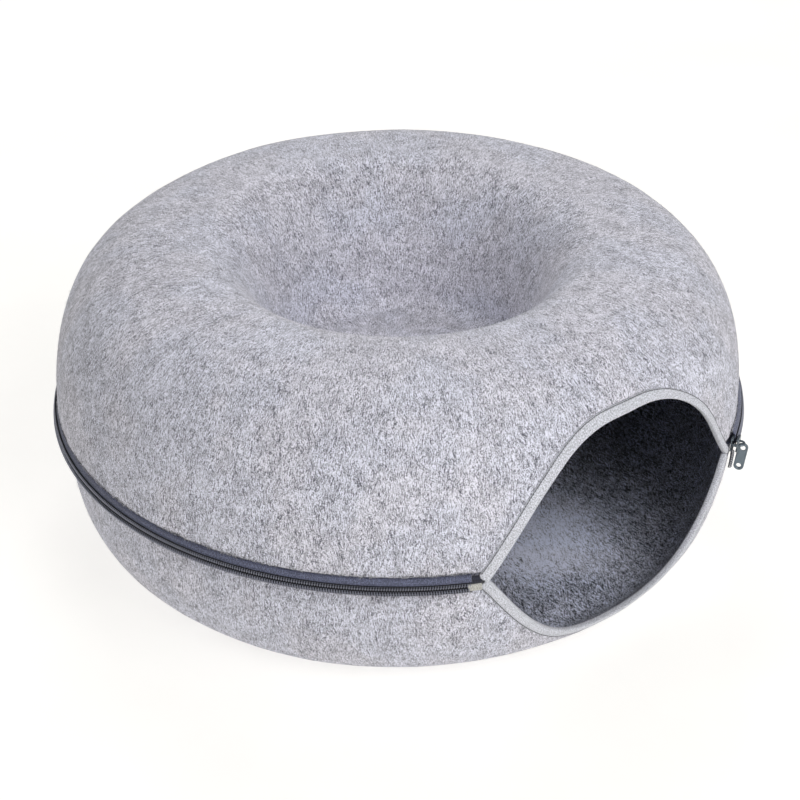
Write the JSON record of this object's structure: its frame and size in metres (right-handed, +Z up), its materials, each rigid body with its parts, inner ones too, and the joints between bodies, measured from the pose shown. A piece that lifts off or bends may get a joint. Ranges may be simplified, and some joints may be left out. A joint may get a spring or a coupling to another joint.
{
  "type": "cat bed",
  "caption": "Round felt cat bed with a sunken well on top, an enclosed tunnel around it, an arched doorway in the side and a zip that joins its halves.",
  "frame": {"origin": "middle of the flat underside, on the bed's vertical axis, where it rests on the floor", "axes": "+Z up, the doorway faces -Y, the zip's slider is on the +X side of the doorway"},
  "size_m": [0.6042, 0.5812, 0.2605],
  "materials": {
    "felt": "light grey marled needle felt, charcoal inside",
    "binding": "pale grey woven ribbon",
    "zip_tape": "slate blue-grey woven tape",
    "zip_coil": "dark slate coil, satin",
    "zip_end": "ivory woven",
    "zip_metal": "dark gunmetal plating, satin"
  },
  "bodies": {
    "root": {"upper_shell": "felt", "lower_shell": "felt", "binding_upper": "binding", "binding_lower": "binding", "zip_tape_upper": "zip_tape", "zip_tape_lower": "zip_tape", "zip_chain": "zip_coil", "zip_tape_fold": "zip_tape", "zip_end_cover": "zip_end", "zip_end_open": "zip_tape", "zip_slider": "zip_metal", "zip_pull": "zip_metal"}
  },
  "joints": []
}
